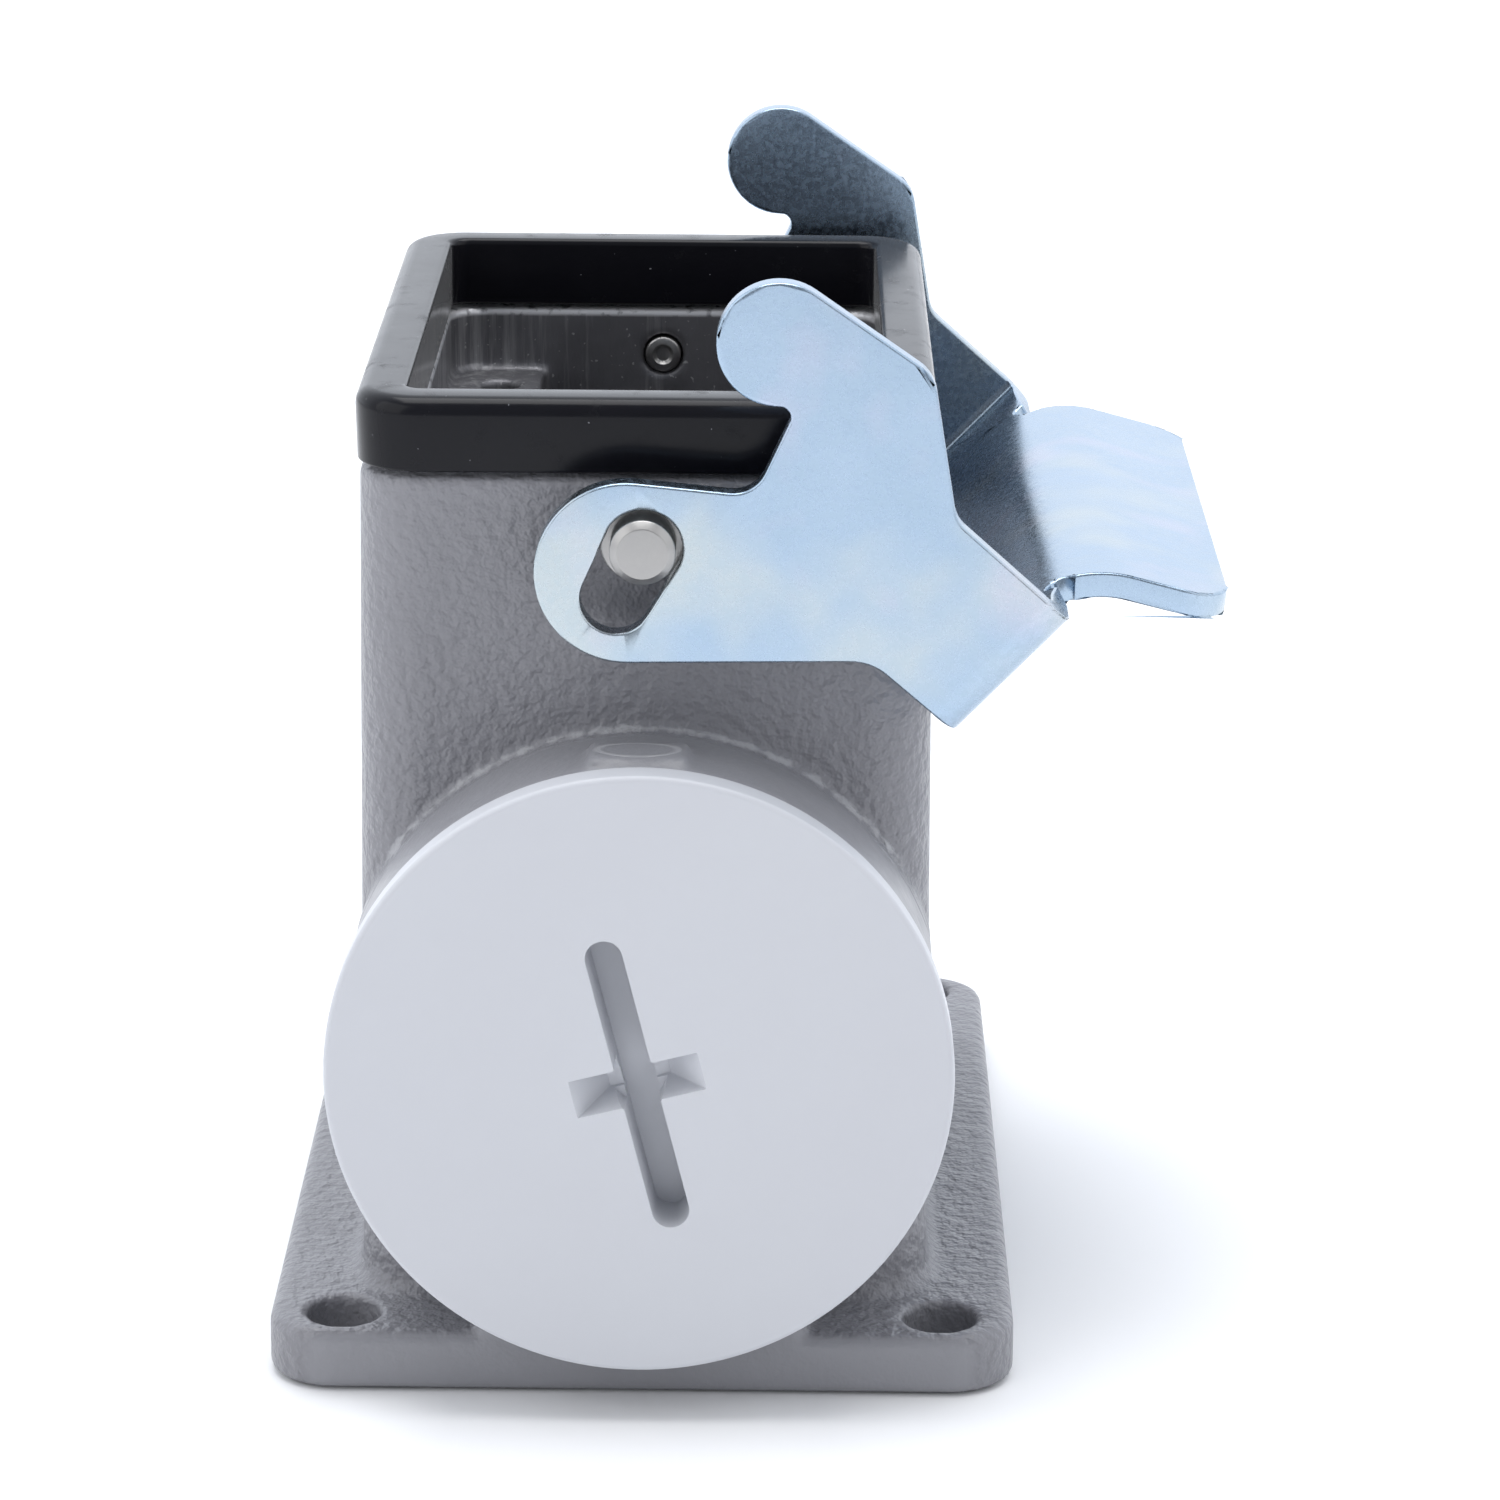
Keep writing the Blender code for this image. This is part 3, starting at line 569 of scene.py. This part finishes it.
def added_blocks():
    """The tongue under the seal, the badge on top of the boss and the pedestal below it."""
    tongue = rounded_block(
        "tongue",
        SEAL_HALF - Vector((1.45, 1.45)) * MM,
        3.55 * MM,
        [(0, 60 * MM), (0, 72.9 * MM)],
    )
    badge = rounded_block(
        "badge",
        (3.65 * MM, 2.15 * MM),
        0.3 * MM,
        [(0, 45 * MM), (0, BADGE_TOP - 0.2 * MM), (0.2 * MM, BADGE_TOP)],
        BADGE_CENTRE,
    )
    pedestal = rounded_block(
        "pedestal",
        (12.3 * MM, 5.0 * MM),
        0.8 * MM,
        [(0, 1.0 * MM), (0, 10.0 * MM)],
        (0, -34.1 * MM),
    )
    return tongue, badge, pedestal


def cavity_block():
    """The room inside the body, with a small slope round its floor."""
    profile = [(0.8 * MM, 4.0 * MM), (0.2 * MM, 4.3 * MM), (0, 5.0 * MM), (0, 80 * MM)]
    return rounded_block("cavity", CAVITY_HALF, 3.0 * MM, profile)


def lug_blocks():
    """The four lugs in the cavity's corners, for the insert's screws."""
    profile = [(0, 49.3 * MM), (0, 63.1 * MM), (0.2 * MM, 63.3 * MM)]
    half = (4.1 * MM, 5.0 * MM)
    return [
        rounded_block("lug", half, 0.6 * MM, profile, (x * LUG_CENTRE[0], y * LUG_CENTRE[1]))
        for x, y in CORNERS
    ]


def housing_cutters():
    """The seal's room, the entry's bore and thread, and the holes for pins and screws."""
    cutters = [
        rounded_block(
            "skirt_room",
            SEAL_HALF - Vector((2.45, 2.45)) * MM,
            3.6 * MM,
            [(0, SHOULDER), (0, 80 * MM)],
        ),
        rod("bore", 18.8 * MM, (0, -32 * MM, ENTRY_HEIGHT), (0, -26.5 * MM, ENTRY_HEIGHT)),
        threaded_rod("thread", THREAD_RADIUS + 0.3 * MM, -45 * MM, -31 * MM),
        rod("pin_holes", 1.65 * MM, (0, -33 * MM, PIVOT_HEIGHT), (0, 33 * MM, PIVOT_HEIGHT), 32),
    ]
    for x, y in CORNERS:
        spot = (x * FIXING_CENTRE[0], FLANGE_SHIFT.y + y * FIXING_CENTRE[1])
        cutters.append(rod("fixing", 2.8 * MM, (*spot, -1 * MM), (*spot, 6 * MM), 48))
        spot = (x * SCREW_CENTRE[0], y * SCREW_CENTRE[1])
        cutters.append(rod("screw", 1.65 * MM, (*spot, 52.3 * MM), (*spot, 64 * MM), 32))
    return cutters


def paint_inside(body):
    """Gives the faces of the cavity and the entry's bore the second, uncoated material."""
    for face in body.data.polygons:
        x, y, z = face.center
        in_walls = abs(x) < CAVITY_HALF.x + 0.9 * MM and abs(y) < CAVITY_HALF.y + 0.9 * MM
        in_cavity = in_walls and z > 3.6 * MM
        in_thread = math.hypot(x, z - ENTRY_HEIGHT) < THREAD_RADIUS + 0.9 * MM
        in_bore = in_thread and BOSS_FACE_Y + 0.4 * MM < y < -27 * MM
        face.material_index = 1 if in_cavity or in_bore else 0


def build_housing():
    """The casting: blocks united, hollowed out and cut, then softened all over."""
    body = flange_block()
    tongue, badge, pedestal = added_blocks()
    combine(body, "UNION", wall_block(), tongue, boss_block(), badge, pedestal)
    combine(body, "DIFFERENCE", cavity_block())
    combine(body, "UNION", *lug_blocks())
    combine(body, "DIFFERENCE", *housing_cutters())

    # Remeshing and a little smoothing give the soft edges of a coated casting.
    remesh = body.modifiers.new("casting", "REMESH")
    remesh.mode = "VOXEL"
    remesh.voxel_size = 0.36 * MM
    smooth = body.modifiers.new("soft_edges", "SMOOTH")
    smooth.factor = 0.5
    smooth.iterations = 2
    apply_modifiers(body, 180)

    finish_piece(body, "housing_body", "housing", "coated_grey", coated_grey(), bare_casting())
    paint_inside(body)


# Seal frame ----------------------------------------------------------------------------------
def build_seal():
    """A channel section carried round the mouth, in millimetres as (inset, height, radius)."""
    top, foot = TOTAL_HEIGHT / MM, SEAL_BASE / MM + 0.05
    channel = top - 1.3
    section = soften(
        [
            (0.15, foot, 0.25),
            (0.0, top, 1.3),
            (3.9, top, 0.5),
            (3.9, foot, 0.3),
            (2.75, foot, 0.2),
            (2.75, channel, 0.2),
            (1.15, channel, 0.2),
            (1.15, foot, 0.2),
        ],
        closed=True,
    )
    work = bmesh.new()
    rings = []
    for inset, z in section:
        half = (SEAL_HALF.x - inset, SEAL_HALF.y - inset)
        rings.append(rounded_ring(half, max(5.0 * MM - inset, 1.6 * MM), z, steps=16))
    add_loft(work, rings, closed=True)
    seal = new_object("seal_frame_looks", work, 40)
    finish_piece(seal, "seal_frame", "housing", "black_seal", black_seal())


# Pivot pins ----------------------------------------------------------------------------------
def build_pin(name, node, side):
    """A headed pin with a collar outside the wall and a peened end inside; side is -1 in front."""
    profile = soften(
        [
            (0, 38.0, 0),
            (1.85, 38.0, 0.12),
            (2.4, 37.5, 0.2),
            (2.4, 34.3, 0),
            (3.2, 34.3, 0.15),
            (3.2, 31.3, 0),
            (1.5, 31.3, 0),
            (1.5, 27.3, 0.25),
            (0.85, 27.2, 0.1),
            (0.6, 27.5, 0.1),
            (0, 27.5, 0),
        ]
    )
    turn = Matrix.Rotation(-side * math.pi / 2, 4, "X")
    pin = revolved(name, profile, Matrix.Translation((0, 0, PIVOT_HEIGHT)) @ turn, 64)
    finish_piece(pin, node, "pins", "stainless_steel", stainless())


# Locking lever -------------------------------------------------------------------------------
# The arm's points are measured from the pivot, and the bridge is the sheet between the arms.
LEVER_SHEET = 1.9 * MM
ARM_MIDDLE = 35.55 * MM
LEVER_BEND = 1.75 * MM
BRIDGE_START = Vector((22.22, -13.33)) * MM
BRIDGE_ALONG = Vector((math.cos(math.radians(46)), math.sin(math.radians(46))))
BRIDGE_OUTWARD = Vector((BRIDGE_ALONG.y, -BRIDGE_ALONG.x))
BRIDGE_HEIGHT = 11.85 * MM
BRIDGE_HALF = ARM_MIDDLE - LEVER_BEND
BEND_LENGTH = LEVER_BEND * math.pi / 2
TAB_HALF = 27.0 * MM
TAB_BEND_START = 8.1 * MM
TAB_BEND_RADIUS = 8.35 * MM
TAB_BEND = math.radians(60.5)
TAB_STRAIGHT = 5.0 * MM
TAB_CURL = math.radians(10.0)
TAB_CURL_LENGTH = 2.6 * MM
TAB_CORNER = 3.8 * MM


def arm_outline():
    """The arm's edge from the bridge's lower end to its upper end, measured from the pivot."""
    lower_end = BRIDGE_START - BRIDGE_OUTWARD * LEVER_BEND
    upper_end = lower_end + BRIDGE_ALONG * BRIDGE_HEIGHT
    lower_knee = Vector((16.56, -8.36)) * MM
    throat = Vector((8.02, 4.03)) * MM
    throat_top = Vector((11.07, 10.6)) * MM
    shoulder = Vector((20.9, 12.96)) * MM
    waist = Vector((22.67, 2.23)) * MM
    lobe = arc(Vector((-1.17, -1.86)) * MM, 6.75 * MM, 271, 84, 36)
    hook = arc(Vector((9.76, 15.15)) * MM, 4.55 * MM, 270, 54.5, 36)
    points = [lower_end]
    points += fillet(lower_end, lower_knee, lobe[0], 4.0 * MM, 8)
    points += lobe
    points += fillet(lobe[-1], throat, throat_top, 2.5 * MM, 8)
    points += fillet(throat, throat_top, hook[0], 0.8 * MM)
    points += hook
    points += fillet(hook[-1], shoulder, waist, 3.0 * MM, 8)
    points += fillet(shoulder, waist, upper_end, 2.5 * MM, 8)
    return [*points, upper_end]


def slot_outline():
    """The pin's slot in the arm, wider at the pin's end, measured from the pivot."""
    wide = arc((0, 0), 2.9 * MM, -23, 147, 24)
    narrow = arc(Vector((-1.95, -3.75)) * MM, 2.6 * MM, 157, 327, 24)
    return wide + narrow


def unfold(point):
    """Where a point of the arm lies on the flat blank."""
    offset = point - BRIDGE_START
    depth = -offset.dot(BRIDGE_OUTWARD)
    return Vector((offset.dot(BRIDGE_ALONG), BRIDGE_HALF + BEND_LENGTH + depth - LEVER_BEND))


def tab_path(distance):
    """How far the tab's middle layer gets along the bridge's line and outward from it."""
    along = min(distance, TAB_BEND_START)
    rest = distance - along
    turn = min(rest / TAB_BEND_RADIUS, TAB_BEND)
    along += TAB_BEND_RADIUS * math.sin(turn)
    outward = TAB_BEND_RADIUS * (1 - math.cos(turn))
    rest -= turn * TAB_BEND_RADIUS
    straight = min(rest, TAB_STRAIGHT)
    curl = TAB_BEND - TAB_CURL * min((rest - straight) / TAB_CURL_LENGTH, 1) / 2
    for length, heading in ((straight, TAB_BEND), (rest - straight, curl)):
        along += length * math.cos(heading)
        outward += length * math.sin(heading)
    return along, outward


def fold(along, across):
    """The place in space of a point of the blank. The tab's bend fades out at its sides."""
    angle = min(max(across - BRIDGE_HALF, 0) / LEVER_BEND, math.pi / 2)
    side = min(across, BRIDGE_HALF) + LEVER_BEND * math.sin(angle)
    depth = LEVER_BEND * (1 - math.cos(angle)) + max(across - BRIDGE_HALF - BEND_LENGTH, 0)
    bent_along, outward = tab_path(along)
    fade = min(max((BRIDGE_HALF - across) / (BRIDGE_HALF - TAB_HALF), 0), 1)
    fade = fade * fade * (3 - 2 * fade)
    along += (bent_along - along) * fade
    place = BRIDGE_START + BRIDGE_ALONG * along + BRIDGE_OUTWARD * (outward * fade - depth)
    return Vector((place.x, side, place.y + PIVOT_HEIGHT))


def blank_outline():
    """Half of the flat blank: arm, relief notch, rounded tab, closed along the middle."""
    arm = [unfold(point) for point in arm_outline()]
    relief = (BRIDGE_HEIGHT + 0.3 * MM, TAB_HALF + 0.95 * MM)
    end = TAB_BEND_START + TAB_BEND_RADIUS * TAB_BEND + TAB_STRAIGHT + TAB_CURL_LENGTH
    points = [Vector((arm[0].x, 0)), *arm]
    points += arc(relief, 1.25 * MM, 104, 310, 16)
    points += arc((end - TAB_CORNER, TAB_HALF - TAB_CORNER), TAB_CORNER, 90, 0, 12)
    return [*points, Vector((end, 0))]


def split_lines(work, places, direction, limit):
    """Cuts the blank across a direction, where its faces are below a limit across."""
    for place in places:
        faces = [f for f in work.faces if f.calc_center_median().y < limit]
        edges = {edge for face in faces for edge in face.edges}
        verts = {vert for face in faces for vert in face.verts}
        bmesh.ops.bisect_plane(
            work,
            geom=[*verts, *edges, *faces],
            dist=0.001 * MM,
            plane_co=direction * place,
            plane_no=direction,
        )


def build_lever():
    """Half a blank with its slot, cut along its bends, folded, mirrored and thickened."""
    work = bmesh.new()
    edges = []
    for outline in (blank_outline(), [unfold(point) for point in slot_outline()]):
        verts = [work.verts.new((point.x, point.y, 0)) for point in outline]
        edges += [work.edges.new(pair) for pair in zip(verts, verts[1:] + verts[:1])]
    bmesh.ops.triangle_fill(work, use_beauty=True, use_dissolve=False, edges=edges)
    fades = [TAB_HALF + i * (BRIDGE_HALF - TAB_HALF) / 10 for i in range(10)]
    bends = [BRIDGE_HALF + i * BEND_LENGTH / 8 for i in range(9)]
    split_lines(work, fades + bends, Vector((0, 1, 0)), 100 * MM)
    bend = TAB_BEND_RADIUS * TAB_BEND
    tab = [TAB_BEND_START + i * bend / 20 for i in range(21)]
    tab.append(TAB_BEND_START + bend + TAB_STRAIGHT)
    tab.append(TAB_BEND_START + bend + TAB_STRAIGHT + TAB_CURL_LENGTH / 2)
    split_lines(work, tab, Vector((1, 0, 0)), BRIDGE_HALF)
    for vert in work.verts:
        vert.co = fold(vert.co.x, vert.co.y)
    lever = new_object("locking_lever_looks", work, 180)
    mirror = lever.modifiers.new("other_half", "MIRROR")
    mirror.use_axis = (False, True, False)
    mirror.merge_threshold = 0.01 * MM
    sheet = lever.modifiers.new("sheet", "SOLIDIFY")
    sheet.thickness = LEVER_SHEET
    sheet.offset = 0
    sheet.use_even_offset = True
    apply_modifiers(lever)
    bevel_edges(lever, 0.2 * MM, 50, clamp=False)
    finish_piece(lever, "locking_lever", "lever", "zinc_steel", zinc_plate())


# Blanking plug -------------------------------------------------------------------------------
def slot_cutter(name, half, corner, floor_half, depth):
    """A slot whose walls slope in to a smaller floor; it is built flat, then stood up."""
    work = bmesh.new()
    above = depth / 3  # not the same for two slots, so that no faces coincide
    rings = [
        rounded_ring(floor_half, min(corner, min(floor_half)), -depth),
        rounded_ring(half, corner, 0),
        rounded_ring(half, corner, above),
    ]
    add_loft(work, rings)
    cutter = new_object(name, work)
    tilt = Matrix.Rotation(SLOT_TILT, 4, "Z")
    stand = Matrix.Rotation(math.pi / 2, 4, "X")
    cutter.data.transform(Matrix.Translation(SLOT_CENTRE) @ stand @ tilt)
    return cutter


def face_slots():
    """The long slot, the cross slot and the round recess where they meet, as one cutter."""
    long_slot = slot_cutter(
        "long_slot", (1.38 * MM, 11.35 * MM), 1.36 * MM, (1.2 * MM, 11.0 * MM), 4.0 * MM
    )
    cross_slot = slot_cutter(
        "cross_slot", (4.85 * MM, 1.45 * MM), 0.1 * MM, (2.3 * MM, 0.65 * MM), 3.1 * MM
    )
    into = Vector((0, 2.8 * MM, 0))
    recess = rod("recess", 2.1 * MM, SLOT_CENTRE - into, SLOT_CENTRE + into, 48)
    return combine(long_slot, "UNION", cross_slot, recess)


def build_plug():
    """The round head and the thread in one piece, hollow from behind, slotted in front."""
    face, back, radius = (PLUG_HEAD - PLUG_BACK_Y) / MM, -PLUG_BACK_Y / MM, PLUG_RADIUS / MM
    head = soften([(0, face, 0), (radius, face, 0.45), (radius, back, 0.3), (0, back, 0)])
    plug = revolved("blanking_plug_looks", head, ENTRY_AXIS, 160)
    end = PLUG_BACK_Y + THREAD_LENGTH
    thread = threaded_rod("plug_thread", THREAD_RADIUS, PLUG_BACK_Y - 1.0 * MM, end)
    combine(plug, "UNION", thread)
    hollow = rod(
        "hollow",
        THREAD_RADIUS - 3.2 * MM,
        (0, PLUG_BACK_Y - PLUG_HEAD + 5.0 * MM, ENTRY_HEIGHT),
        (0, end + 1.0 * MM, ENTRY_HEIGHT),
    )
    combine(plug, "DIFFERENCE", hollow, face_slots())
    bevel_edges(plug, 0.12 * MM, 35)
    finish_piece(plug, "blanking_plug", "plug", "grey_plastic", grey_plastic())


def build_ring():
    """The sealing ring between the plug's head and the boss."""
    front, rear = -PLUG_BACK_Y / MM - 0.3, -BOSS_FACE_Y / MM + 0.3
    section = soften(
        [(20.6, front, 0.2), (22.0, front, 0.25), (22.0, rear, 0.25), (20.6, rear, 0.2)],
        closed=True,
    )
    ring = revolved("plug_seal_ring_looks", section, ENTRY_AXIS, 128, closed=True)
    finish_piece(ring, "plug_seal_ring", "ring", "dark_rubber", dark_rubber())


# Camera, floor and light ---------------------------------------------------------------------
def build_camera():
    """A long lens from the front, a little above, turned by its yaw, pitch and roll."""
    data = bpy.data.cameras.new("camera")
    data.sensor_width = 36.0
    data.lens = 125.76
    data.shift_x = 0.0121
    data.shift_y = -0.0921
    data.clip_start = 0.01
    camera = bpy.data.objects.new("camera", data)
    SCENE.collection.objects.link(camera)
    yaw, pitch, roll = (math.radians(angle) for angle in (-0.508, 15.546, 0.382))
    up = Vector((0, 0, 1))
    level = Vector((math.sin(yaw), math.cos(yaw), 0))
    right = Vector((math.cos(yaw), -math.sin(yaw), 0))
    ahead = level * math.cos(pitch) - up * math.sin(pitch)
    above = up * math.cos(pitch) + level * math.sin(pitch)
    side = right * math.cos(roll) + above * math.sin(roll)
    above = above * math.cos(roll) - right * math.sin(roll)
    turn = Matrix((side, above, -ahead)).transposed().to_4x4()
    camera.matrix_world = Matrix.Translation(Vector((9.72, -402.18, 161.86)) * MM) @ turn
    SCENE.camera = camera


def build_floor():
    """A plain pale floor just under the object."""
    work = bmesh.new()
    bmesh.ops.create_grid(work, x_segments=2, y_segments=2, size=3.0)
    floor = new_object("floor", work)
    floor.location.z = -0.2 * MM
    pale = Surface("floor_looks", Roughness=0.9)
    tone = pale.noise(400.0, 1.0)
    pale.set("Base Color", pale.blend(tone, (0.94, 0.94, 0.945, 1), (0.95, 0.95, 0.955, 1)))
    floor.data.materials.append(pale.material)


def add_area(name, place, size, power):
    """A square softbox aimed at the object and hidden from the camera."""
    data = bpy.data.lights.new(name, "AREA")
    data.shape = "SQUARE"
    data.size = size
    data.energy = power
    light = bpy.data.objects.new(name, data)
    SCENE.collection.objects.link(light)
    light.location = place
    aim = Vector((0, 0, 0.04)) - light.location
    light.rotation_euler = aim.to_track_quat("-Z", "Y").to_euler()
    light.visible_camera = False


def build_light():
    """A bright studio behind and above the object, dimmer towards the camera."""
    world = bpy.data.worlds.new("studio")
    SCENE.world = world
    world.use_nodes = True
    nodes = world.node_tree.nodes
    links = world.node_tree.links
    background = nodes["Background"]
    background.inputs["Color"].default_value = (0.88, 0.925, 1.0, 1)
    direction = nodes.new("ShaderNodeSeparateXYZ")
    links.new(nodes.new("ShaderNodeTexCoord").outputs["Generated"], direction.inputs[0])
    shade = nodes.new("ShaderNodeMapRange")
    shade.interpolation_type = "SMOOTHSTEP"
    for name, value in (("From Min", -0.5), ("From Max", 0.5), ("To Min", 0.4), ("To Max", 1.46)):
        shade.inputs[name].default_value = value
    links.new(direction.outputs["Y"], shade.inputs["Value"])
    links.new(shade.outputs["Result"], background.inputs["Strength"])
    add_area("left_box", (-0.9, -0.55, 0.6), 1.1, 4.6)
    add_area("right_box", (0.95, -0.5, 0.6), 1.1, 3.0)
    add_area("top_box", (0.0, 0.1, 1.2), 0.9, 9.5)
    SCENE.view_settings.view_transform = "Standard"


build_camera()
build_housing()
build_seal()
build_pin("front_pivot_pin_looks", "front_pivot_pin", -1)
build_pin("rear_pivot_pin_looks", "rear_pivot_pin", 1)
build_lever()
build_plug()
build_ring()
build_floor()
build_light()
